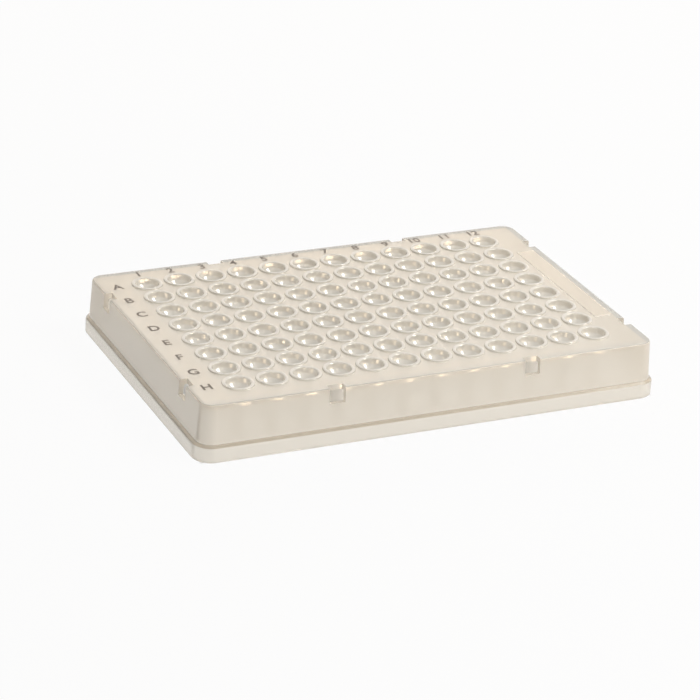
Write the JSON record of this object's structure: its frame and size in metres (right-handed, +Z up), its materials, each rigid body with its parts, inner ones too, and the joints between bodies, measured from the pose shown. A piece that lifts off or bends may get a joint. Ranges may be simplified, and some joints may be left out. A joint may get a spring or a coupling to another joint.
{
  "type": "well plate",
  "caption": "Skirted plate of small conical wells in a rectangular grid, for holding liquid samples in a thermal cycler or liquid handler.",
  "frame": {"origin": "centre of the foot's outline, on the surface that the plate stands on", "axes": "+X along a row of wells from column 1 to column 12, +Y from row H to row A, +Z up, out of the wells' mouths"},
  "size_m": [0.1278, 0.0854, 0.0154],
  "materials": {
    "natural_polypropylene": "satin"
  },
  "bodies": {
    "root": {"well_plate": "natural_polypropylene"}
  },
  "joints": []
}
